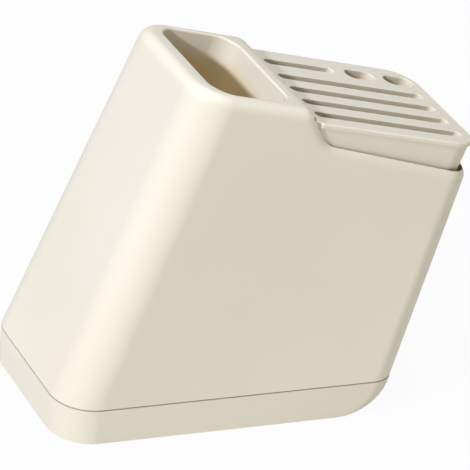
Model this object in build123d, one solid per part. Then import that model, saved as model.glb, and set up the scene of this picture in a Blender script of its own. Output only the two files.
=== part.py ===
from build123d import *
import math
import os

os.makedirs("parts", exist_ok=True)

# Leaning knife and utensil holder.
# It is laid out with x along the long side from the left end of the base, y from the middle of its
# depth towards the back, and z up from the table. Lengths are in millimetres, angles in degrees.

# Overall form
base_length = 230.8
base_depth = 120.0
rim_top_z = 230.9
lean = 13.25
draft = 2.36
right_draft = 2.95
rim_slope = 11.7
left_corner_r = 24.4
right_corner_r = 19.6
rim_round_r = 7.6
wall = 2.5

# Drip tray
foot_proud = 1.2
tray_height = 23.5
tray_wall = 2.4
tray_floor = 2.4
tray_left_inset = 1.8
tray_side_inset = 0.4
heel_r = 23.2
heel_steps = 8

# Seam between tray and housing, and the lip that finds the tray
seam_gap = 0.7
seam_edge_r = 0.5
lip_inset = 3.1
lip_right_inset = 3.8
lip_wall = 1.8
lip_depth = 5.0
ring_height = 5.0

# Utensil well
well_length = 55.4
well_side_inset = 17.0
well_corner_r = 14.0
well_rim = 12.5
well_draft = 1.0
well_wall = 2.4
well_edge_r = 1.4
well_mouth_depth = 20.0
rim_thickness = 4.4

# Step from the well's rim down to the low wall round the knife bay
step_rim = 9.3
step_side_angle = 32.0
step_height = 21.7
step_crest_r = 14.0
step_foot_r = 14.0
ledge_slope = 14.2
bay_wall = 2.4
bay_face_past_step = 6.4

# Knife insert
insert_drop = 7.2
insert_slope = 11.3
plate_thickness = 3.0
plate_side_inset = 10.4
plate_corner_r = 19.0
plate_edge_r = 1.3
plate_left_start = 2.2
brim_left_r = 1.5
skirt_overhang = 1.0
skirt_corner_r = 5.0
skirt_wall = 2.2
skirt_depth = 42.0
skirt_clearance = 0.45
skirt_right_gap = 0.5
slot_count = 4
slot_width = 6.9
slot_pitch = 16.5
slot_first_inset = 13.6
slot_start = 4.3
slot_end_inset = 8.96
short_slot_step = 19.7
short_slot_gap = 9.1
hole_length = 21.6
hole_width = 12.2
hole_pitch = 29.4
hole_end_inset = 16.26
guide_wall = 1.6
guide_depth = 30.0
hole_guide_depth = 18.0
slot_edge_r = 0.5

# Seats for the insert inside the knife bay
seat_rib_wall = 2.4
seat_rib_left_inset = 8.0
seat_rib_right_inset = 22.9
seat_rib_overlap = 2.6
seat_rib_reach = 20.0
seat_rib_rise = 3.2

# Drain grate
grate_thickness = 2.4
grate_inset = 3.8
grate_right_inset = 6.2
grate_slot_width = 3.6
grate_slot_pitch = 7.4
grate_columns = 5
grate_side_margin = 6.0
grate_end_margin = 11.2
grate_bar = 4.6
clip_count = 3
clip_pitch = 60.0
clip_width = 8.0
clip_thickness = 1.8
clip_gap = 0.15
clip_head = 1.6
clip_reach = 1.3
clip_root = 0.4

# Ribs in the tray that carry the grate
tray_rib_wall = 2.4
tray_rib_reach = 7.6
tray_rib_count = 4
tray_rib_end_inset = 31.4
tray_end_rib_y = 27.0

# Feet
foot_r = 7.0
foot_thickness = 3.0
foot_edge = 0.6
foot_clearance = 0.1
foot_pad_wall = 2.0
foot_inset_left = 30.0
foot_inset_right = 38.0
foot_inset_side = 22.0

# Worked out from the sizes above
tray_bottom_z = foot_proud
seam_z = tray_bottom_z + tray_height
left_lean = math.tan(math.radians(lean + draft))
right_lean = math.tan(math.radians(lean - right_draft))
side_lean = math.tan(math.radians(draft))
axis_lean = math.tan(math.radians(lean))
rim_fall = math.tan(math.radians(rim_slope))
plate_fall = math.tan(math.radians(insert_slope))
lift_dir = Vector(math.sin(math.radians(lean)), 0, math.cos(math.radians(lean)))
half_depth = base_depth / 2
well_depth = base_depth - 2 * well_side_inset
plate_half_depth = half_depth - plate_side_inset
bottom_z = seam_z + seam_gap / 2
rim_left_x = (rim_top_z - seam_z) * left_lean
step_x = rim_left_x + well_rim + well_length + step_rim
high_z = rim_top_z + 25.0
upper_zone_z = seam_z + 60.0

# Cutting tools run past the faces they cut by this much, and cutting planes reach this far
overcut = 5.0
far = 400.0

# An edge this near a plane lies on it
on_face = 0.05


def left_x(z):
    """Outer face of the left wall at height z."""
    return (z - seam_z) * left_lean


def right_x(z):
    """Outer face of the right wall at height z."""
    return base_length + (z - seam_z) * right_lean


def side_y(z):
    """Outer face of the front and rear walls at height z, from the middle."""
    return half_depth - (z - seam_z) * side_lean


def rim_z(x):
    """Height of the well's rim at x."""
    return rim_top_z - (x - rim_left_x) * rim_fall


def corners_at(z, inset):
    """The four corners of a level slice of the housing, before its corners are rounded."""
    x_low = left_x(z) + inset
    x_high = right_x(z) - inset
    y_half = side_y(z) - inset
    return [(x_low, -y_half, z), (x_high, -y_half, z), (x_high, y_half, z), (x_low, y_half, z)]


def six_sided(low, high):
    """Solid with flat sides between a lower and an upper set of four corners."""
    faces = [make_face(Polyline(low, close=True)), make_face(Polyline(high, close=True))]
    for i in range(4):
        j = (i + 1) % 4
        faces.append(make_face(Polyline([low[i], low[j], high[j], high[i]], close=True)))
    return Solid(Shell(faces))


def outline(x_left, x_right, half_y, r_left, r_right, z):
    """Flat face at height z: a rectangle with its own radius on the left and the right corners."""
    face = Rectangle(x_right - x_left, 2 * half_y)
    face = fillet(face.vertices().sort_by(Axis.X)[:2], r_left)
    face = fillet(face.vertices().sort_by(Axis.X)[-2:], r_right)
    return Pos((x_left + x_right) / 2, 0, z) * face


def housing_block(z_low, z_high, inset=0.0):
    """The housing's leaning, tapering form between two heights, set in from its outer faces."""
    block = six_sided(corners_at(z_low, inset), corners_at(z_high, inset))
    upright = sorted([e for e in block.edges() if is_upright(e)], key=lambda e: (e @ 0.5).X)
    block = fillet(upright[:2], left_corner_r - inset)
    upright = sorted([e for e in block.edges() if is_upright(e)], key=lambda e: (e @ 0.5).X)
    return fillet(upright[-2:], right_corner_r - inset)


def level_band(solid, z_low, z_high):
    """The part of a solid between two heights."""
    return solid & (Pos(0, 0, (z_low + z_high) / 2) * Box(4 * far, 4 * far, z_high - z_low))


def base_prism(z_low, z_high, inset, right_inset=None):
    """Upright prism with the outline of the base, set in from its edge."""
    right_inset = inset if right_inset is None else right_inset
    face = outline(
        inset,
        base_length - right_inset,
        half_depth - inset,
        left_corner_r - inset,
        right_corner_r - right_inset,
        z_low,
    )
    return extrude(face, z_high - z_low)


def side_profile(points):
    """Flat face in the plane of x and z, through the points given as (x, z)."""
    return make_face(Polyline([(x, 0, z) for x, z in points], close=True))


def across(face, half_width=far):
    """A side profile carried to the front and to the rear."""
    return extrude(face, half_width, dir=(0, 1, 0), both=True)


def lean_x(x, z, height):
    """x at another height on a line along the lean that passes through (x, z)."""
    return x + (height - z) * axis_lean


# Side profile: the rim plane, the step and the ledge of the low wall
step_top = (step_x, rim_z(step_x))
step_foot = (
    step_x + step_height * math.tan(math.radians(step_side_angle)),
    step_top[1] - step_height,
)
ledge_fall = math.tan(math.radians(ledge_slope))
ledge_end_x = right_x(rim_top_z) + overcut


def ledge_z(x):
    """Height of the low wall's crest at x."""
    return step_foot[1] - (x - step_foot[0]) * ledge_fall


def above_line(start, rise):
    """Everything above a sloping plane through the point given as (x, z)."""
    low = (-far, start[1] - (start[0] + far) * rise)
    high = (far, start[1] + (far - start[0]) * rise)
    return across(side_profile([low, high, (far, high_z + far), (-far, high_z + far)]))


def top_cutter():
    """Everything above the rim, the step and the ledge."""
    profile = side_profile(
        [
            (-far, high_z + far),
            (-far, rim_z(-far)),
            step_top,
            step_foot,
            (ledge_end_x, ledge_z(ledge_end_x)),
            (ledge_end_x, high_z + far),
        ]
    )
    corners = profile.vertices()
    crest = corners.sort_by_distance(Vector(step_top[0], 0, step_top[1]))[0]
    profile = fillet(crest, step_crest_r)
    foot = profile.vertices().sort_by_distance(Vector(step_foot[0], 0, step_foot[1]))[0]
    profile = fillet(foot, step_foot_r)
    return across(profile)


# Utensil well
well_mid_x = rim_left_x + well_rim + well_length / 2
well_ref_z = rim_z(well_mid_x)


def well_corners(z, grow):
    """The four corners of a level slice of the well at height z, made larger by grow on each side."""
    shrink = (well_ref_z - z) * math.tan(math.radians(well_draft)) - grow
    mid_x = lean_x(well_mid_x, well_ref_z, z)
    half_x = well_length / 2 - shrink
    half_y = well_depth / 2 - shrink
    return [
        (mid_x - half_x, -half_y, z),
        (mid_x + half_x, -half_y, z),
        (mid_x + half_x, half_y, z),
        (mid_x - half_x, half_y, z),
    ]


def well_prism(z_low, z_high, grow=0.0):
    """The well's leaning hollow, or with grow its outer tube."""
    prism = six_sided(well_corners(z_low, grow), well_corners(z_high, grow))
    return fillet([e for e in prism.edges() if is_upright(e)], well_corner_r + grow)


# Face of the cross wall towards the knife bay
bay_ref_x = step_x + bay_face_past_step
bay_ref_z = rim_z(step_x)


def beyond_bay_face(offset):
    """Everything to the right of the cross wall's bay face, moved right by offset."""
    low = (lean_x(bay_ref_x, bay_ref_z, -overcut) + offset, -overcut)
    high = (lean_x(bay_ref_x, bay_ref_z, high_z + overcut) + offset, high_z + overcut)
    return across(side_profile([low, high, (base_length + far, high[1]), (base_length + far, low[1])]))


# Knife insert, drawn on its sloping top plane. u runs down the slope from the cross wall.
insert_z = bay_ref_z - insert_drop
insert_left_x = lean_x(bay_ref_x, bay_ref_z, insert_z) + skirt_clearance
slope_x = math.cos(math.radians(insert_slope))
slope_z = math.sin(math.radians(insert_slope))
insert_plane = Plane(
    origin=(insert_left_x, 0, insert_z - (insert_left_x - step_x) * plate_fall),
    x_dir=(slope_x, 0, -slope_z),
    z_dir=(slope_z, 0, slope_x),
)


def ledge_right_z():
    """Height where the ledge's plane meets the outer face of the right wall."""
    run = base_length - seam_z * right_lean - step_foot[0]
    return (step_foot[1] - ledge_fall * run) / (1 + ledge_fall * right_lean)


def skirt_right_u():
    """u of the skirt's right face, which clears the wall where it comes nearest, at the ledge."""
    tight_z = ledge_right_z()
    clear_x = right_x(tight_z) - wall - skirt_right_gap
    start = insert_plane.origin
    return (clear_x - lean_x(start.X, start.Z, tight_z)) / (slope_x + slope_z * axis_lean)


skirt_half_depth = plate_half_depth - skirt_overhang
skirt_length = skirt_right_u()
plate_length = skirt_length + skirt_overhang


def on_plate(u, v=0.0, depth=0.0):
    """Place on the sloping plane, moved down along the lean by depth."""
    return Pos(*(lift_dir * -depth)) * insert_plane.location * Pos(u, v, 0)


def plate_face(u_left, u_right, half_v, r_left, r_right, depth=0.0):
    """Flat face parallel to the plate, depth below its top."""
    face = Rectangle(u_right - u_left, 2 * half_v)
    face = fillet(face.vertices().sort_by(Axis.X)[:2], r_left)
    face = fillet(face.vertices().sort_by(Axis.X)[-2:], r_right)
    return on_plate((u_left + u_right) / 2, 0, depth) * face


def down(face, depth):
    """Carry a face down along the lean."""
    return extrude(face, depth, dir=tuple(lift_dir * -1))


def slot_places():
    """Middle, length, width and guide depth of each slot and hole in the plate."""
    places = []
    first_y = slot_first_inset - plate_half_depth
    length = plate_length - slot_start - slot_end_inset
    for row in range(slot_count):
        y = first_y + row * slot_pitch
        places.append((slot_start + length / 2, y, length, slot_width, guide_depth))
    last_y = first_y + (slot_count - 1) * slot_pitch + short_slot_step
    hole_u = plate_length - hole_end_inset - hole_pitch
    length = hole_u - hole_length / 2 - short_slot_gap - slot_start
    places.append((slot_start + length / 2, last_y, length, slot_width, guide_depth))
    for u in (hole_u, hole_u + hole_pitch):
        places.append((u, last_y, hole_length, hole_width, hole_guide_depth))
    return places


def make_housing():
    """Outer shell with the utensil well, the cross wall, the insert's seats and the lower lip."""
    body = housing_block(bottom_z, high_z) - top_cutter()
    body = fillet([e for e in body.edges() if is_top_edge(e)], rim_round_r)
    body = fillet(body.edges().group_by(Axis.Z)[0], seam_edge_r)

    body = body - well_prism(well_ref_z - well_mouth_depth, high_z)
    body = fillet([e for e in body.edges() if is_mouth_edge(e)], well_edge_r)

    inner = housing_block(seam_z - overcut, high_z, wall)
    inner_skin = housing_block(seam_z - overcut, high_z, wall / 2)
    bay = inner & beyond_bay_face(0.0)
    hollow = inner - beyond_bay_face(-bay_wall)
    hollow = hollow - above_line((rim_left_x, rim_top_z - rim_thickness), -rim_fall)
    hollow = hollow - well_prism(seam_z - 2 * overcut, high_z, well_wall)
    body = body - bay - hollow - well_prism(seam_z - overcut, high_z)

    ring_top_z = seam_z + ring_height
    lip_low_z = seam_z - lip_depth
    lip = level_band(inner_skin, bottom_z + seam_edge_r, ring_top_z)
    lip = lip + base_prism(lip_low_z, ring_top_z - ring_height / 2, lip_inset, lip_right_inset)
    lip = lip - base_prism(
        lip_low_z - overcut, ring_top_z + overcut, lip_inset + lip_wall, lip_right_inset + lip_wall
    )
    return body + lip + seat_ribs(level_band(inner_skin, ring_top_z + seat_rib_rise, high_z))


def is_top_edge(edge):
    """True for the outer edges of the rim, the step and the ledge."""
    middle = edge @ 0.5
    if middle.Z < upper_zone_z or is_upright(edge):
        return False
    on_side = abs(abs(middle.Y) - side_y(middle.Z)) < wall / 2
    near_left = middle.X < left_x(middle.Z) + left_corner_r
    near_right = middle.X > right_x(middle.Z) - right_corner_r
    return on_side or near_left or near_right


def is_upright(edge):
    """True for edges that run up the corners."""
    return abs((edge @ 1).Z - (edge @ 0).Z) > 0.8 * edge.length


def is_mouth_edge(edge):
    """True for the edges where the well opens on the rim plane."""
    middle = edge @ 0.5
    on_rim = abs(middle.Z - rim_z(middle.X)) < on_face
    inside_x = abs(middle.X - well_mid_x) < well_length / 2 + well_wall
    inside_y = abs(middle.Y) < well_depth / 2 + well_wall
    return on_rim and inside_x and inside_y


def seat_ribs(inner_skin):
    """Leaning ribs on the front and rear walls of the bay, which start above the grate's clips.

    The skirt's lower edge rests on them.
    """
    middle_v = skirt_half_depth - seat_rib_overlap + seat_rib_reach / 2
    ribs = None
    for u in (seat_rib_left_inset, plate_length - seat_rib_right_inset):
        for side in (-1, 1):
            rib = on_plate(u, side * middle_v, skirt_depth) * Rectangle(seat_rib_wall, seat_rib_reach)
            rib = down(rib, far) & inner_skin
            ribs = rib if ribs is None else ribs + rib
    return ribs


def make_insert():
    """Slotted plate with a skirt, and a guide sleeve under each slot and hole."""
    skirt_r = plate_corner_r - skirt_overhang
    root = plate_thickness / 2
    brim = plate_face(plate_left_start, plate_length, plate_half_depth, brim_left_r, plate_corner_r)
    over_skirt = plate_face(0, skirt_length, skirt_half_depth, skirt_corner_r, skirt_r)
    plate = down(brim + over_skirt, plate_thickness)
    top_face = max(plate.faces(), key=lambda f: f.normal_at().dot(insert_plane.z_dir) * f.area)
    body = fillet(top_face.edges(), plate_edge_r)

    outer = plate_face(0, skirt_length, skirt_half_depth, skirt_corner_r, skirt_r, root)
    inner = plate_face(
        skirt_wall,
        skirt_length - skirt_wall,
        skirt_half_depth - skirt_wall,
        skirt_corner_r - skirt_wall,
        skirt_r - skirt_wall,
        root,
    )
    body = body + down(outer - inner, skirt_depth - root)
    for u, v, length, width, depth in slot_places():
        sleeve = SlotOverall(length + 2 * guide_wall, width + 2 * guide_wall)
        body = body + down(on_plate(u, v, root) * sleeve, depth)
    for u, v, length, width, depth in slot_places():
        body = body - down(on_plate(u, v, -overcut) * SlotOverall(length, width), depth + 3 * overcut)
    return fillet([e for e in body.edges() if is_slot_rim(e)], slot_edge_r)


def is_slot_rim(edge):
    """True for the edges of the slots and holes on the plate's top plane."""
    middle = insert_plane.to_local_coords(edge @ 0.5)
    start = insert_plane.to_local_coords(edge @ 0)
    on_top = abs(middle.Z) < on_face and abs(start.Z) < on_face
    inside_v = abs(middle.Y) < plate_half_depth - 2 * plate_edge_r
    inside_u = slot_start - on_face < middle.X < plate_length - 2 * plate_edge_r
    return on_top and inside_v and inside_u


def tray_section(z, inset):
    """Level slice of the tray at height z, with the round heel at its right end."""
    low = 1 - (z - tray_bottom_z) / tray_height
    below_centre = max(tray_bottom_z + heel_r - z, 0.0)
    reach = math.sqrt((heel_r - inset) ** 2 - below_centre**2)
    return outline(
        tray_left_inset * low + inset,
        base_length - heel_r + reach,
        half_depth - tray_side_inset * low - inset,
        left_corner_r - inset,
        right_corner_r - inset,
        z,
    )


def tray_form(z_low, z_high, inset):
    """The tray's outer form, or with inset its hollow."""
    radius = heel_r - inset
    centre_z = tray_bottom_z + heel_r
    first = math.acos(min((centre_z - z_low) / radius, 1.0))
    last = math.acos(max((centre_z - z_high) / radius, 0.0))
    levels = [first + (last - first) * i / heel_steps for i in range(heel_steps + 1)]
    heights = [centre_z - radius * math.cos(a) for a in levels]
    sections = [tray_section(z, inset) for z in heights]
    if z_high > heights[-1] + on_face:
        sections.append(tray_section(z_high, inset))
    return loft(sections, ruled=True)


def make_tray():
    """Shallow tray with a round heel, ribs that carry the grate, and pockets for the feet."""
    top_z = seam_z - seam_gap / 2
    body = tray_form(tray_bottom_z, top_z, 0.0)
    body = body - tray_form(tray_bottom_z + tray_floor, top_z + overcut, tray_wall)

    rib_low = tray_bottom_z + tray_floor / 2
    rib_height = seam_z - lip_depth - grate_thickness - rib_low
    rib_mid_z = rib_low + rib_height / 2
    ribs = Box(tray_rib_reach, tray_rib_wall, rib_height)
    ribs = Pos(tray_rib_reach / 2, -tray_end_rib_y, rib_mid_z) * ribs + (
        Pos(tray_rib_reach / 2, tray_end_rib_y, rib_mid_z) * ribs
    )
    rib_pitch = (base_length - 2 * tray_rib_end_inset) / (tray_rib_count - 1)
    for i in range(tray_rib_count):
        x = tray_rib_end_inset + i * rib_pitch
        for side in (-1, 1):
            y = side * (half_depth - tray_rib_reach / 2)
            ribs = ribs + Pos(x, y, rib_mid_z) * Box(tray_rib_wall, tray_rib_reach, rib_height)
    body = body + (ribs & tray_form(tray_bottom_z, top_z, tray_wall / 2))

    pocket_r = foot_r + foot_clearance
    pad_low = tray_bottom_z + tray_floor / 2
    pad_height = foot_thickness + tray_floor - pad_low
    for x, y in foot_places():
        body = body + Pos(x, y, pad_low + pad_height / 2) * Cylinder(pocket_r + foot_pad_wall, pad_height)
        body = body - Pos(x, y, foot_thickness / 2) * Cylinder(pocket_r, foot_thickness)
    return body


def foot_places():
    """Centres of the four feet."""
    xs = (foot_inset_left, base_length - foot_inset_right)
    ys = (-half_depth + foot_inset_side, half_depth - foot_inset_side)
    return [(x, y) for y in ys for x in xs]


def make_foot(x, y):
    """Round soft foot, chamfered where it meets the table."""
    foot = Pos(x, y, foot_thickness / 2) * Cylinder(foot_r, foot_thickness)
    return chamfer(foot.edges().sort_by(Axis.Z)[0], foot_edge)


def make_grate():
    """Slotted floor that clips over the ring inside the housing's lip."""
    top_z = seam_z - lip_depth
    plate = base_prism(top_z - grate_thickness, top_z, grate_inset, grate_right_inset)
    span_x = base_length - grate_inset - grate_right_inset - 2 * grate_end_margin
    column_pitch = (span_x + grate_bar) / grate_columns
    rows = int((base_depth - 2 * grate_inset - 2 * grate_side_margin) / grate_slot_pitch)
    for column in range(grate_columns):
        x = grate_inset + grate_end_margin + (column_pitch - grate_bar) / 2 + column * column_pitch
        for row in range(rows):
            y = (row - (rows - 1) / 2) * grate_slot_pitch
            slot = Box(column_pitch - grate_bar, grate_slot_width, 4 * grate_thickness)
            plate = plate - Pos(x, y, top_z) * slot
    clip_y = half_depth - lip_inset - lip_wall - clip_gap
    ring_top_z = seam_z + ring_height
    for i in range(clip_count):
        x = base_length / 2 + (i - (clip_count - 1) / 2) * clip_pitch
        for side in (-1, 1):
            arm_height = ring_top_z + clip_head - top_z
            arm_y = side * (clip_y - clip_thickness / 2)
            arm = Pos(x, arm_y, top_z + arm_height / 2) * Box(clip_width, clip_thickness, arm_height)
            head_y = side * (clip_y - clip_root + clip_reach / 2)
            head = Pos(x, head_y, ring_top_z + clip_head / 2) * Box(clip_width, clip_reach, clip_head)
            plate = plate + arm + head
    return plate


overall_right_x = insert_plane.origin.X + plate_length * slope_x
to_origin = Pos(-overall_right_x / 2, 0, 0)


def save(name, solid):
    """Write one piece, with the origin moved under the middle of the whole."""
    placed = to_origin * solid
    placed.label = name
    export_step(placed, os.path.join("parts", name + ".step"))
    box = placed.bounding_box()
    print(name, "solids", len(placed.solids()), "volume", round(placed.volume), "box", box.min, box.max)


save("housing", make_housing())
save("knife_insert", make_insert())
save("drain_grate", make_grate())
save("drip_tray", make_tray())
foot_names = ("foot_front_left", "foot_front_right", "foot_rear_left", "foot_rear_right")
for foot_name, (foot_x, foot_y) in zip(foot_names, foot_places()):
    save(foot_name, make_foot(foot_x, foot_y))
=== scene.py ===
# %% [markdown]
# # A leaning holder for knives and kitchen utensils
#
# The real object is four moulded pieces on four soft feet. A shallow drip tray stands on the
# worktop. A tall housing leans over it, with an open well for utensils on the left and a
# lower opening on the right. A slotted insert closes that opening and keeps the knives apart,
# and a slotted floor inside lets water fall into the tray.
#
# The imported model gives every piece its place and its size. This file gives them their looks,
# so it starts by loading that model as a fixed frame, and notes how large the whole is.

# %% Load the frame
import math

import bmesh
import bpy
from mathutils import Matrix, Vector


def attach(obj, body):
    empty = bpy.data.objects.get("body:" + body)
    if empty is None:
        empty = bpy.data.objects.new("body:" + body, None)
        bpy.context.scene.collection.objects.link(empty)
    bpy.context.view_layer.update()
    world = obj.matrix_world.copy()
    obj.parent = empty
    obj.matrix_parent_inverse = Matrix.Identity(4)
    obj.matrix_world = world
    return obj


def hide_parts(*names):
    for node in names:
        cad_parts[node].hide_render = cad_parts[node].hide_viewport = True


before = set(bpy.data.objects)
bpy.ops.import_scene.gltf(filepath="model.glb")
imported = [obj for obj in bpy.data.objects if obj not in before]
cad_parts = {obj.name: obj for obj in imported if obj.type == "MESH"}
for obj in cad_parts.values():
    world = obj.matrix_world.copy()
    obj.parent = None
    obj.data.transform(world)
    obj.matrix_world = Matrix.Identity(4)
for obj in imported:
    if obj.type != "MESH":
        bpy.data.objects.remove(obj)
scene = bpy.context.scene
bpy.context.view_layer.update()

# %% [markdown]
# ## The camera
#
# The photograph looks down on the holder from the front left, through a long lens, and the
# frame is turned a little, so the worktop seems to slope. A camera could be aimed with a
# constraint, but its own axes say the same thing more plainly: one axis points back from the
# subject, and the other two are turned about it by the roll.

# %% Camera
view_azimuth = math.radians(-31.0414)
view_elevation = math.radians(28.0150)
view_roll = math.radians(-11.1894)
view_distance = 1.991315
view_lens = 249.89
view_target = Vector((-0.014257, 0.0, 0.1112))
view_shift = (-0.009845, 0.005778)


def turned_axes(azimuth, elevation, roll):
    """The camera's right, up and back directions."""
    back = Vector(
        (
            math.sin(azimuth) * math.cos(elevation),
            -math.cos(azimuth) * math.cos(elevation),
            math.sin(elevation),
        )
    )
    right = Vector((0, 0, 1)).cross(back).normalized()
    up = back.cross(right)
    turned_right = math.cos(roll) * right - math.sin(roll) * up
    turned_up = math.sin(roll) * right + math.cos(roll) * up
    return turned_right, turned_up, back


def add_camera():
    right, up, back = turned_axes(view_azimuth, view_elevation, view_roll)
    eye = view_target - right * view_shift[0] - up * view_shift[1] + back * view_distance
    data = bpy.data.cameras.new("studio_camera")
    data.sensor_width = 36.0
    data.lens = view_lens
    data.clip_end = 50.0
    camera = bpy.data.objects.new("studio_camera", data)
    camera.matrix_world = Matrix(
        (
            (right.x, up.x, back.x, eye.x),
            (right.y, up.y, back.y, eye.y),
            (right.z, up.z, back.z, eye.z),
            (0, 0, 0, 1),
        )
    )
    scene.collection.objects.link(camera)
    scene.camera = camera
    return camera


print("camera at", tuple(round(x, 3) for x in add_camera().location))

# %% [markdown]
# ## Shader maths
#
# A finish is a network of nodes, and written one link at a time it soon hides what it does.
# Here a small class stands for an output socket and lets Python's operators add the Math
# nodes, and a second class holds one material and adds any other node by its type, its
# settings and its inputs.


# %% Wires and finishes
class Wire:
    """One output socket, with operators that add Math nodes."""

    def __init__(self, finish, socket):
        self.finish = finish
        self.socket = socket

    def maths(self, operation, *values):
        """A Math node on these values, of which this wire is usually one."""
        return self.finish.node("ShaderNodeMath", {"operation": operation}, *values)

    def part(self, axis):
        """One of a vector's three numbers."""
        apart = self.finish.tree.nodes.new("ShaderNodeSeparateXYZ")
        self.finish.tree.links.new(self.socket, apart.inputs[0])
        return Wire(self.finish, apart.outputs[axis])

    def __add__(self, other):
        return self.maths("ADD", self, other)

    def __radd__(self, other):
        return self.maths("ADD", other, self)

    def __sub__(self, other):
        return self.maths("SUBTRACT", self, other)

    def __rsub__(self, other):
        return self.maths("SUBTRACT", other, self)

    def __mul__(self, other):
        return self.maths("MULTIPLY", self, other)

    def __rmul__(self, other):
        return self.maths("MULTIPLY", other, self)

    def between(self, low, high):
        """0 where the value is at or under low, 1 where it is at or over high, smooth between."""
        settings = {"interpolation_type": "SMOOTHSTEP"}
        return self.finish.node("ShaderNodeMapRange", settings, self, low, high, 0.0, 1.0)


class Network:
    """A node tree whose nodes are added by type, settings and inputs."""

    def node(self, kind, settings=None, *values, out=0, **named):
        made = self.tree.nodes.new(kind)
        for key, value in (settings or {}).items():
            setattr(made, key, value)
        for key, value in list(enumerate(values)) + list(named.items()):
            name = key if isinstance(key, int) else key.replace("_", " ")
            if isinstance(value, Wire):
                self.tree.links.new(value.socket, made.inputs[name])
            else:
                made.inputs[name].default_value = value
        return Wire(self, made.outputs[out])


class Finish(Network):
    """A material under construction."""

    def __init__(self, name):
        self.material = bpy.data.materials.new(name)
        self.material.use_nodes = True
        self.tree = self.material.node_tree
        self.tree.nodes.clear()

    def mix_colour(self, amount, first, second):
        """A Mix node on colours, whose sockets share their names and so go by number."""
        made = self.tree.nodes.new("ShaderNodeMix")
        made.data_type = "RGBA"
        for index, value in ((0, amount), (6, first), (7, second)):
            if isinstance(value, Wire):
                self.tree.links.new(value.socket, made.inputs[index])
            else:
                made.inputs[index].default_value = value
        return Wire(self, made.outputs[2])

    def place(self, scale=(1, 1, 1), turn=(0, 0, 0)):
        """Object coordinates, stretched and turned for a pattern."""
        where = self.node("ShaderNodeTexCoord", out="Object")
        return self.node("ShaderNodeMapping", None, where, Scale=scale, Rotation=turn)

    def noise(self, scale, detail=2.0, roughness=0.5, stretch=(1, 1, 1), turn=(0, 0, 0)):
        return self.node(
            "ShaderNodeTexNoise",
            None,
            Vector=self.place(stretch, turn),
            Scale=scale,
            Detail=detail,
            Roughness=roughness,
        )

    def depth_under(self, plane, low, high):
        """0 down to low under a plane that slopes along x, 1 from high on, smooth between."""
        (x, _, z), slope = plane
        where = self.node("ShaderNodeTexCoord", out="Object")
        return ((x - where.part("X")) * slope + z - where.part("Z")).between(low, high)

    def finish_with(self, shader):
        end = self.tree.nodes.new("ShaderNodeOutputMaterial")
        self.tree.links.new(shader.socket, end.inputs["Surface"])
        return self.material


print("shader helpers ready")

# %% [markdown]
# ## Moulded plastic
#
# The housing, insert, grate and tray are injection-moulded in one warm cream plastic. Its
# skin is satin: the mould was sparked to a very fine grain, so highlights are broad. Up close
# the colour drifts a little as the melt cools, sink marks make long shallow waves, and daily
# use leaves faint hairline scuffs that are a touch rougher than the skin round them. A plain
# colour would look like a drawing, so each of these is its own layer of noise, tied to the
# object's coordinates.
#
# One layer isn't in the real plastic, which is one colour all over. The shade in the
# photograph's well and slots is browner than these lamps make it, so the base colour is
# tinted there, by a mark on the inner faces times the depth under the rim. It is kept
# partial, because where light falls on those faces from another side, the tint shows as the
# paint it is.


# %% Planes that the depth is measured from, each a point and its fall along x
base_left_x = -0.129257
rim_left_shift = 0.05762
rim_height = 0.2309
rim_slope = math.tan(math.radians(11.7))
plate_slope = math.tan(math.radians(11.3))
rim_plane = ((base_left_x + rim_left_shift, 0.0, rim_height), rim_slope)
plate_plane = ((0.0107084, 0.0, 0.2066827), plate_slope)
# Painted shade: on inner faces the base colour is scaled by this brown factor, more the deeper
# under the rim or plate.
painted_shade_tint = (0.97, 0.79, 0.49)
well_shade_depths = (rim_plane, 0.009, 0.022)
slot_shade_depths = (plate_plane, 0.0003, 0.0050)
print("rim falls", round(rim_slope, 4), "plate falls", round(plate_slope, 4), "per metre")


# %% Moulded plastic finish
def times(colour, factors):
    """A colour scaled channel by channel, as a node's four numbers."""
    return (*(min(1.0, c * f) for c, f in zip(colour, factors)), 1)


def moulded_plastic(name, colour, sheen_roughness, scuff_turn, painted_shade, scuffs=0.35, seed=0.0):
    finish = Finish(name)
    shift = (seed, seed * 0.7, seed * 1.3)
    drift = finish.noise(9.0, 2.0, 0.45, turn=shift)
    cloud = finish.noise(42.0, 3.0, 0.6, turn=shift)
    grain = finish.noise(2600.0, 2.0, 0.6)
    waves = finish.noise(16.0, 1.0, 0.4, turn=shift)
    hair = finish.noise(120.0, 3.0, 0.7, stretch=(0.35, 6.0, 6.0), turn=scuff_turn)
    patch = finish.noise(14.0, 2.0, 0.5, turn=shift)
    scuff = hair.between(0.63, 0.70) * patch.between(0.52, 0.66)

    darker = times(colour, (0.975, 0.970, 0.955))
    paler = times(colour, (1.012, 1.014, 1.022))
    tone = finish.mix_colour(drift.between(0.3, 0.7), darker, paler)
    speck = finish.noise(700.0, 2.0, 0.5).between(0.70, 0.78) * 0.10
    tone = finish.mix_colour(speck, tone, times(colour, (0.86, 0.86, 0.86)))
    tone = finish.mix_colour(scuff * (0.22 * scuffs), tone, (0.93, 0.92, 0.88, 1))

    # Painted shade: inner faces turn towards the brown tint by their mark and their depth under
    # the rim or plate.
    painted_shade_mark = finish.node("ShaderNodeAttribute", {"attribute_name": "painted_shade"}, out="Fac")
    painted_shade_amount = finish.depth_under(*painted_shade) * painted_shade_mark
    tone = finish.mix_colour(painted_shade_amount, tone, times(colour, painted_shade_tint))

    rough = sheen_roughness + (cloud - 0.5) * 0.07 + scuff * (0.22 * scuffs)
    relief = grain * 0.5 + scuff * (-0.5 * scuffs)
    skin = finish.node("ShaderNodeBump", None, Strength=0.10, Distance=0.00006, Height=relief)
    skin = finish.node(
        "ShaderNodeBump", None, Strength=0.16, Distance=0.0012, Height=waves, Normal=skin
    )
    shader = finish.node(
        "ShaderNodeBsdfPrincipled", None, Base_Color=tone, Roughness=rough, Normal=skin, IOR=1.46
    )
    print("finish", name, "base", [round(c, 3) for c in colour])
    return finish.finish_with(shader)


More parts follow.
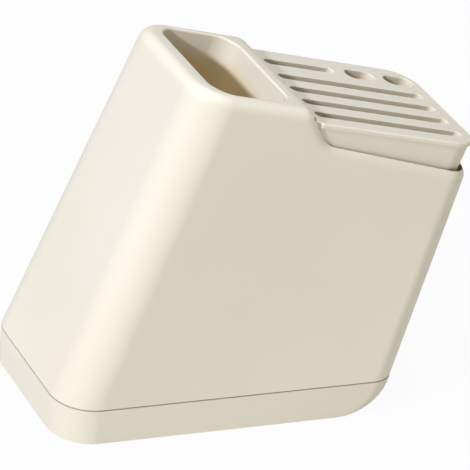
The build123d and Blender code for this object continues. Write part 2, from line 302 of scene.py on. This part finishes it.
# %% The four plastics
cream = (0.800, 0.745, 0.610)
grate_cream = (0.775, 0.720, 0.585)
satin = 0.42
housing_finish = moulded_plastic(
    "satin_cream_housing", cream, satin, (0, 0.23, 0.4), well_shade_depths
)
tray_finish = moulded_plastic(
    "satin_cream_tray", cream, satin, (0, 0, 0.15), well_shade_depths, seed=1.7
)
grate_finish = moulded_plastic(
    "satin_cream_grate", grate_cream, satin, (0, 0, 0.05), well_shade_depths, seed=2.9
)
insert_finish = moulded_plastic(
    "satin_cream_insert", cream, satin, (0, 0.2, 0.02), slot_shade_depths, scuffs=0.8, seed=4.1
)

# %% [markdown]
# ## Soft rubber
#
# The feet are a pale grey rubber. It scatters light with almost no highlight, and dust in its
# pores leaves uneven darker patches. Gloss would make it look like the plastic, so its
# roughness is high and a fine noise roughens the skin.


# %% Rubber finish
def soft_rubber(name, colour):
    finish = Finish(name)
    pores = finish.noise(1800.0, 3.0, 0.7)
    dust = finish.noise(160.0, 3.0, 0.6)
    grubby = times(colour, (0.78, 0.78, 0.78))
    tone = finish.mix_colour(dust.between(0.35, 0.7), (*colour, 1), grubby)
    skin = finish.node("ShaderNodeBump", None, Strength=0.35, Distance=0.0001, Height=pores)
    shader = finish.node(
        "ShaderNodeBsdfPrincipled",
        None,
        Base_Color=tone,
        Roughness=0.72 + (dust - 0.5) * 0.2,
        Normal=skin,
        IOR=1.5,
    )
    print("finish", name)
    return finish.finish_with(shader)


rubber_finish = soft_rubber("pale_rubber", (0.36, 0.345, 0.31))

# %% [markdown]
# ## Patterns in Geometry Nodes
#
# What repeats on the holder follows a rule: a few sizes and a pitch say all there is to know.
# Such a piece could be modelled once and copied by hand, but then a new pitch means new work.
# A Geometry Nodes tree keeps the rule, and its named inputs are the sizes. The same network
# class as for the finishes adds its nodes, and the tree ends by making every instance real
# and giving it its material.


# %% Patterns in Geometry Nodes
def label_of(name):
    """The name that an input shows in Blender."""
    return name.replace("_", " ").capitalize()


class Pattern(Network):
    """A Geometry Nodes tree with named inputs, which ends in one material."""

    def __init__(self, name, numbers="", counts="", objects=""):
        self.tree = bpy.data.node_groups.new(name, "GeometryNodeTree")
        sockets = self.tree.interface
        sockets.new_socket("Geometry", in_out="INPUT", socket_type="NodeSocketGeometry")
        sockets.new_socket("Geometry", in_out="OUTPUT", socket_type="NodeSocketGeometry")
        sockets.new_socket("Finish", in_out="INPUT", socket_type="NodeSocketMaterial")
        for kind, names in (("Float", numbers), ("Int", counts), ("Object", objects)):
            for each in names.split():
                sockets.new_socket(
                    label_of(each), in_out="INPUT", socket_type="NodeSocket" + kind
                )
        self.start = self.tree.nodes.new("NodeGroupInput")

    def inlet(self, name):
        return Wire(self, self.start.outputs[label_of(name)])

    def vector(self, x=0.0, y=0.0, z=0.0):
        return self.node("ShaderNodeCombineXYZ", None, x, y, z)

    def join(self, *parts):
        made = self.tree.nodes.new("GeometryNodeJoinGeometry")
        for part in reversed(parts):
            self.tree.links.new(part.socket, made.inputs[0])
        return Wire(self, made.outputs[0])

    def slab(self, outline, thickness):
        """A flat outline filled and given thickness downwards, closed on both faces."""
        face = self.node("GeometryNodeFillCurve", {}, outline)
        top = self.node("GeometryNodeFlipFaces", None, face)
        walls = self.node(
            "GeometryNodeExtrudeMesh",
            {"mode": "FACES"},
            face,
            Offset=self.vector(z=thickness * -1.0),
            Offset_Scale=1.0,
            Individual=False,
        )
        return self.merged(self.join(walls, top))

    def merged(self, geometry):
        return self.node("GeometryNodeMergeByDistance", None, geometry, Distance=same_spot)

    def moved(self, geometry, by):
        return self.node("GeometryNodeTransform", None, geometry, Translation=by)

    def turned(self, geometry, *degrees):
        turn = tuple(map(math.radians, degrees))
        return self.node("GeometryNodeTransform", None, geometry, Rotation=turn)

    def repeated(self, points, geometry):
        """A copy on each point, made real."""
        copies = self.node("GeometryNodeInstanceOnPoints", None, points, Instance=geometry)
        return self.node("GeometryNodeRealizeInstances", None, copies)

    def rounded(self, length, depth, left_corner, right_corner, steps):
        """A rectangle's outline whose left and right corners have radii of their own."""
        form = {"mode": "RECTANGLE"}
        box = self.node("GeometryNodeCurvePrimitiveQuadrilateral", form, length, depth)
        x = self.node("GeometryNodeInputPosition").part("X")
        on_right = x.maths("GREATER_THAN", x, 0.0)
        return self.node(
            "GeometryNodeFilletCurve",
            {"mode": "POLY"},
            box,
            Count=steps,
            Radius=on_right * (right_corner - left_corner) + left_corner,
            Limit_Radius=True,
        )

    def end_with(self, geometry):
        real = self.node("GeometryNodeRealizeInstances", None, geometry)
        done = self.node("GeometryNodeSetMaterial", None, real, Material=self.inlet("finish"))
        finish = self.tree.nodes.new("NodeGroupOutput")
        self.tree.links.new(done.socket, finish.inputs[0])


same_spot = 0.000002
print("pattern helpers ready, corners closer than", same_spot, "m are merged")


# %% Run a pattern once
def shaped_by(pattern, name, finish, body, slot, nodes, **sizes):
    """Run a pattern once, keep its result as a plain mesh, and let it stand for its nodes."""
    piece = bpy.data.objects.new(name, bpy.data.meshes.new(name + "_start"))
    scene.collection.objects.link(piece)
    run = piece.modifiers.new("pattern", "NODES")
    run.node_group = pattern.tree
    values = {label_of(key): value for key, value in sizes.items()} | {"Finish": finish}
    for item in pattern.tree.interface.items_tree:
        if item.in_out == "INPUT" and item.name in values:
            run[item.identifier] = values[item.name]
    bpy.context.view_layer.update()
    ready = piece.evaluated_get(bpy.context.evaluated_depsgraph_get())
    mesh = bpy.data.meshes.new_from_object(ready)
    piece.modifiers.clear()
    piece.data = mesh
    mesh.name = name
    work = bmesh.new()
    work.from_mesh(mesh)
    bmesh.ops.remove_doubles(work, verts=work.verts, dist=same_spot)
    bmesh.ops.recalc_face_normals(work, faces=work.faces)
    gaps = sum(1 for edge in work.edges if len(edge.link_faces) != 2)
    work.to_mesh(mesh)
    work.free()
    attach(piece, body)
    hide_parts(*nodes)
    print(name, "faces", len(mesh.polygons), "edges without two faces", gaps)
    return piece


# %% Edges and sections
def soften(piece, width, segments=2, angle=35.0):
    """Round the hard edges, as a mould does, and keep the flat faces flat."""
    for polygon in piece.data.polygons:
        polygon.use_smooth = True
    bevel = piece.modifiers.new("soft_edges", "BEVEL")
    bevel.width = width
    bevel.segments = segments
    bevel.limit_method = "ANGLE"
    bevel.angle_limit = math.radians(angle)
    bevel.use_clamp_overlap = True
    bevel.harden_normals = True
    return piece


def outline_of(name, points):
    """A closed line through points, for a pattern to read as a section."""
    data = bpy.data.curves.new(name, "CURVE")
    data.dimensions = "3D"
    line = data.splines.new("POLY")
    line.points.add(len(points) - 1)
    line.use_cyclic_u = True
    for spot, (x, y) in zip(line.points, points):
        spot.co = (x, y, 0.0, 1.0)
    made = bpy.data.objects.new(name, data)
    scene.collection.objects.link(made)
    made.hide_render = True
    print(name, "points", len(points))
    return made


# %% [markdown]
# ## The drain floor
#
# Inside the housing lies a slotted floor, held by six hooks that snap over a ring. Knife tips
# stop on it while water falls through to the tray. Sixty-five equal slots in five columns are
# a grid, so the tree makes one slot, puts it on a grid of points, and fills the plate's
# outline with the slots left out. Cutting them with sixty-five booleans would be slower and
# leave a worse mesh. The hooks are one section, given its width and set out in two rows.


# %% Drain floor pattern
def drain_floor_pattern():
    net = Pattern(
        "slotted_floor",
        numbers="length depth left_corner right_corner thickness slot_length slot_width "
        "column_pitch row_pitch slot_shift hook_width hook_pitch hook_shift middle top",
        counts="columns rows hooks",
        objects="hook",
    )
    inlet = net.inlet
    corners = inlet("left_corner"), inlet("right_corner")
    edge = net.rounded(inlet("length"), inlet("depth"), *corners, steps=10)
    cut_r = 0.0003
    hole = net.rounded(inlet("slot_length"), inlet("slot_width"), cut_r, cut_r, steps=2)
    grid = net.node(
        "GeometryNodeMeshGrid",
        None,
        (inlet("columns") - 1) * inlet("column_pitch"),
        (inlet("rows") - 1) * inlet("row_pitch"),
        inlet("columns"),
        inlet("rows"),
    )
    grid = net.moved(grid, net.vector(inlet("slot_shift")))
    plate = net.slab(net.join(edge, net.repeated(grid, hole)), inlet("thickness"))

    section = net.node("GeometryNodeObjectInfo", None, inlet("hook"), out="Geometry")
    hook = net.slab(section, inlet("hook_width"))
    hook = net.moved(hook, net.vector(z=inlet("hook_width") * 0.5))
    hook = net.turned(hook, 90, 0, 90)
    first = (inlet("hooks") - 1) * inlet("hook_pitch") * -0.5 + inlet("hook_shift")
    row = net.node(
        "GeometryNodeMeshLine",
        None,
        inlet("hooks"),
        Start_Location=net.vector(first),
        Offset=net.vector(inlet("hook_pitch")),
    )
    rear = net.repeated(row, hook)
    front = net.moved(net.turned(rear, 0, 0, 180), net.vector(inlet("hook_shift") * 2.0))
    place = net.vector(inlet("middle"), 0.0, inlet("top"))
    net.end_with(net.moved(net.join(plate, rear, front), place))
    print("slotted floor nodes", len(net.tree.nodes))
    return net


# %% Drain floor
floor_left = -0.125457
floor_right = 0.095343
floor_top = 0.0197
floor_middle = (floor_left + floor_right) / 2
column_pitch = 0.0406
first_column_x = -0.096257
middle_hook_x = -0.013857
hook_outline = outline_of(
    "hook_section",
    [
        (0.05315, -0.0006),
        (0.05495, -0.0006),
        (0.05495, 0.0100),
        (0.05585, 0.0100),
        (0.05585, 0.0106),
        (0.05540, 0.0116),
        (0.05315, 0.0116),
    ],
)
drain_floor = shaped_by(
    drain_floor_pattern(),
    "drain_floor",
    grate_finish,
    "holder",
    "grate_plastic",
    ["drain_grate"],
    length=floor_right - floor_left,
    depth=0.1124,
    left_corner=0.0206,
    right_corner=0.0134,
    thickness=0.0024,
    slot_length=0.0360,
    slot_width=0.0036,
    columns=5,
    rows=13,
    column_pitch=column_pitch,
    row_pitch=0.0074,
    slot_shift=first_column_x + 2 * column_pitch - floor_middle,
    hook=hook_outline,
    hook_width=0.008,
    hooks=3,
    hook_pitch=0.060,
    hook_shift=middle_hook_x - floor_middle,
    middle=floor_middle,
    top=floor_top,
)
soften(drain_floor, 0.0002)

# %% [markdown]
# ## The feet
#
# Four round rubber feet, pressed into pockets under the tray, keep it from sliding. Each is a
# short turned shape: a flat face, a rounded lower edge, a wall and a top. On a lathe that is
# one line turned about an axis, and here the tree does the same: a grid of points whose
# columns follow the line and whose rows are bent round the axis. The four places are the
# corners of one more grid.


# %% Foot pattern
def foot_pattern(turns, steps):
    net = Pattern("turned_feet", numbers="reach_x reach_y middle", objects="section")
    inlet = net.inlet
    line = net.node("GeometryNodeObjectInfo", None, inlet("section"), out="Geometry")
    sheet = net.node("GeometryNodeMeshGrid", None, 1.0, 1.0, turns + 1, steps)
    index = net.node("GeometryNodeInputIndex")
    row = index.maths("FLOOR", (index + 0.5) * (1.0 / steps))
    step = index - row * float(steps)
    where = {"data_type": "FLOAT_VECTOR", "domain": "POINT"}
    spot = net.node("GeometryNodeInputPosition")
    spot = net.node("GeometryNodeSampleIndex", where, line, Value=spot, Index=step)
    reach = spot.part("X")
    angle = row * (2 * math.pi / turns)
    x = reach * angle.maths("COSINE", angle)
    y = reach * angle.maths("SINE", angle)
    bent = net.vector(x, y, spot.part("Y"))
    foot = net.merged(net.node("GeometryNodeSetPosition", None, sheet, Position=bent))
    places = net.node("GeometryNodeMeshGrid", None, inlet("reach_x"), inlet("reach_y"), 2, 2)
    feet = net.node("GeometryNodeInstanceOnPoints", None, places, Instance=foot)
    net.end_with(net.moved(feet, net.vector(inlet("middle"))))
    print("foot nodes", len(net.tree.nodes))
    return net


# %% Feet
foot_edge_r = 0.0008
foot_line = [(0.0, 0.0), (0.0052, 0.0), (0.0060, 0.00008)]
for quarter_step in range(1, 5):
    turn = math.radians(22.5 * quarter_step)
    out, down = foot_edge_r * math.sin(turn), foot_edge_r * math.cos(turn)
    foot_line.append((0.0062 + out, 0.0010 - down))
foot_line += [(0.0070, 0.0027), (0.0068, 0.0029), (0.0064, 0.0030), (0.0, 0.0030)]
soft_feet = shaped_by(
    foot_pattern(48, len(foot_line)),
    "soft_feet",
    rubber_finish,
    "tray",
    "foot_rubber",
    ["foot_front_left", "foot_front_right", "foot_rear_left", "foot_rear_right"],
    section=outline_of("foot_section", foot_line),
    reach_x=0.1628,
    reach_y=0.076,
    middle=-0.017857,
)
for polygon in soft_feet.data.polygons:
    polygon.use_smooth = abs(polygon.normal.z) < 0.95

# %% [markdown]
# ## Smooth copies of the moulded pieces
#
# The imported meshes are loose triangles, so their corners would not share a normal and every
# facet of a rounded edge would show. A copy whose doubles are merged can be shaded smooth,
# with a sharp break only where two faces really meet at an angle. Weighted normals keep the
# flat walls flat right up to their rounded edges. Each copy stands for its node and rides on
# the same body.
#
# A copy also carries a mark of painted shade that the plastic's finish reads. It could be painted
# by hand, but a test on each face's place and direction says which faces look into the well, the
# bay or the slots, and there the shade is painted into the colour.


# %% A painted-shade mark on inner faces
def mark_painted_shade(mesh, shade_share):
    """Note on each face its share of painted shade, from 0 to 1, for the finish to read."""
    painted_shade_mark = mesh.attributes.new("painted_shade", "FLOAT", "FACE")
    for polygon in mesh.polygons:
        painted_shade_mark.data[polygon.index].value = shade_share(polygon.center, polygon.normal)


def no_painted_shade(centre, normal):
    return 0.0


print("mark ready")


# %% Smooth copies
same_corner = 0.000004


def smooth_copy(node, name, body, finish, shade_share=no_painted_shade, sharp_angle=32.0):
    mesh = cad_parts[node].data.copy()
    mesh.name = name
    work = bmesh.new()
    work.from_mesh(mesh)
    bmesh.ops.remove_doubles(work, verts=work.verts, dist=same_corner)
    for face in work.faces:
        face.smooth = True
    sharp = math.radians(sharp_angle)
    for edge in work.edges:
        edge.smooth = len(edge.link_faces) == 2 and edge.calc_face_angle(0.0) < sharp
    work.to_mesh(mesh)
    work.free()
    for attribute in [a for a in mesh.attributes if a.name == "custom_normal"]:
        mesh.attributes.remove(attribute)
    mark_painted_shade(mesh, shade_share)
    mesh.materials.clear()
    mesh.materials.append(finish)
    piece = bpy.data.objects.new(name, mesh)
    scene.collection.objects.link(piece)
    even = piece.modifiers.new("even_normals", "WEIGHTED_NORMAL")
    even.mode = "FACE_AREA"
    even.keep_sharp = True
    even.weight = 80
    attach(piece, body)
    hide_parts(node)
    print(name, "faces", len(mesh.polygons))
    return piece


print("corners closer than", same_corner, "m are merged")


# %% Which faces look into a hollow and take painted shade
lean = math.tan(math.radians(13.25))
divider_x = 0.0072
well_middle = -0.0314
bay_middle = 0.065
middle_z = 0.2226
plate_middle = 0.060
skirt_outside = (0.0035, 0.1150, 0.0465)
skirt_corners = (0.0100, 0.1080, 0.0415)
# How much painted shade the inner faces of the well, the bay and the slots take.
well_shade_share = 0.85
bay_shade_share = 0.25
slot_shade_share = 0.45


def housing_shade_share(centre, normal):
    """Painted-shade share for faces facing the middle line of the well or the bay, both of which
    lean as the holder does.
    """
    back = (middle_z - centre.z) * lean
    in_well = centre.x + back < divider_x
    middle = (well_middle if in_well else bay_middle) - back
    away = normal.x * (centre.x - middle) + normal.y * centre.y
    return (well_shade_share if in_well else bay_shade_share) * (normal.z < 0.5 and away < -0.001)


def beyond(limits, along, across):
    """Before a first or past a last place along the plate, or past one across it."""
    first, last, side = limits
    return not first < along < last or abs(across) > side


def insert_shade_share(centre, normal):
    """Painted-shade share for faces under the plate but not on the skirt's outside, by their place
    along and across the plate.
    """
    (x, _, z), slope = plate_plane
    drop = (z - (centre.x - x) * slope - centre.z) / (1 + lean * slope)
    along = centre.x + drop * lean - x
    outward = normal.x * (along - plate_middle) + normal.y * centre.y > 0
    at_edge = beyond(skirt_outside, along, centre.y)
    near_edge = beyond(skirt_corners, along, centre.y)
    return slot_shade_share * (not at_edge and not (near_edge and outward))


print("shares of the tint", well_shade_share, bay_shade_share, slot_shade_share)

# %% Housing, insert and tray
smooth_copy(
    "housing", "housing_shell", "holder", housing_finish, housing_shade_share
)
smooth_copy(
    "knife_insert", "slotted_insert", "insert", insert_finish, insert_shade_share
)
smooth_copy("drip_tray", "drip_tray_shell", "tray", tray_finish)

# %% [markdown]
# ## The floor
#
# The photograph has no visible ground, only white, so the floor is a large sheet that the
# camera sees as nearly white while it still catches the holder's shadow. Light Path tells
# camera rays from the rest: the bounced light comes from an ordinary pale surface.


# %% Floor
white_share = 0.95
paper_low = (0.60, 0.60, 0.595, 1)
paper_high = (0.64, 0.64, 0.635, 1)
floor_reach = 6.0


def add_floor():
    finish = Finish("studio_paper")
    fibre = finish.noise(35.0, 3.0, 0.6)
    tone = finish.mix_colour(fibre, paper_low, paper_high)
    paper = finish.node("ShaderNodeBsdfPrincipled", None, Base_Color=tone, Roughness=0.9)
    seen = finish.node("ShaderNodeLightPath", out="Is Camera Ray")
    glossy = finish.node("ShaderNodeLightPath", out="Is Glossy Ray")
    clear = finish.node("ShaderNodeLightPath", out="Is Transmission Ray")
    white = finish.node("ShaderNodeEmission", None, Color=(1, 1, 1, 1), Strength=1.0)
    any_seen = seen.maths("MAXIMUM", seen, glossy.maths("MAXIMUM", glossy, clear))
    shown = finish.node("ShaderNodeMixShader", None, any_seen * white_share, paper, white)
    work = bmesh.new()
    bmesh.ops.create_grid(work, x_segments=2, y_segments=2, size=floor_reach)
    mesh = bpy.data.meshes.new("studio_floor")
    work.to_mesh(mesh)
    work.free()
    mesh.materials.append(finish.finish_with(shown))
    floor = bpy.data.objects.new("studio_floor", mesh)
    scene.collection.objects.link(floor)
    return floor


print("floor", add_floor().name)

# %% [markdown]
# ## The light
#
# The well's shadow tells where the main light stands. Its left rim throws a straight shadow
# across the right wall that falls 0.55 for each step to the right, and the step beside the
# insert throws a narrow one on the skirt, so the light comes mostly from the left, a little
# from the front, about 28 degrees up. A sun with a small disc gives that edge its slight
# blur. A broad panel overhead lights the plate and reaches a little way into the slots, a
# second one lifts the front wall, and a dim sky keeps the back from going black. More sky
# would be simpler, but it would fill the slots and the well, and on the real holder those are
# dark.


# %% Lights and sky
key_direction = Vector((-0.843, -0.270, 0.464))
key_strength = 2.60
key_disc = 4.0
panel_target = Vector((0, 0, 0.1))


def aim(lamp, direction):
    """Point a lamp's rays against a direction that leads from the object to the lamp."""
    lamp.rotation_mode = "QUATERNION"
    lamp.rotation_quaternion = direction.to_track_quat("Z", "Y")


def add_sun(name, direction, strength, disc, colour):
    data = bpy.data.lights.new(name, "SUN")
    data.energy = strength
    data.angle = math.radians(disc)
    data.color = colour
    lamp = bpy.data.objects.new(name, data)
    aim(lamp, direction)
    scene.collection.objects.link(lamp)
    return lamp


def add_panel(name, place, size, power, colour):
    data = bpy.data.lights.new(name, "AREA")
    data.shape = "RECTANGLE"
    data.size, data.size_y = size
    data.energy = power
    data.color = colour
    lamp = bpy.data.objects.new(name, data)
    lamp.location = place
    aim(lamp, Vector(place) - panel_target)
    scene.collection.objects.link(lamp)
    return lamp


def add_sky(colour, strength):
    world = bpy.data.worlds.new("studio_sky")
    scene.world = world
    world.use_nodes = True
    background = world.node_tree.nodes["Background"]
    background.inputs["Color"].default_value = (*colour, 1)
    background.inputs["Strength"].default_value = strength


add_sun("key_sun", key_direction, key_strength, key_disc, (0.835, 0.870, 0.985))
add_panel("top_panel", (0.0, 0.0, 2.3), (1.8, 1.8), power=42.0, colour=(0.84, 0.885, 0.97))
add_panel("front_panel", (-0.3, -2.4, 0.34), (1.6, 0.6), power=13.0, colour=(1.0, 0.95, 0.76))
add_sky((1.0, 0.86, 0.66), strength=0.11)
scene.view_settings.view_transform = "Standard"
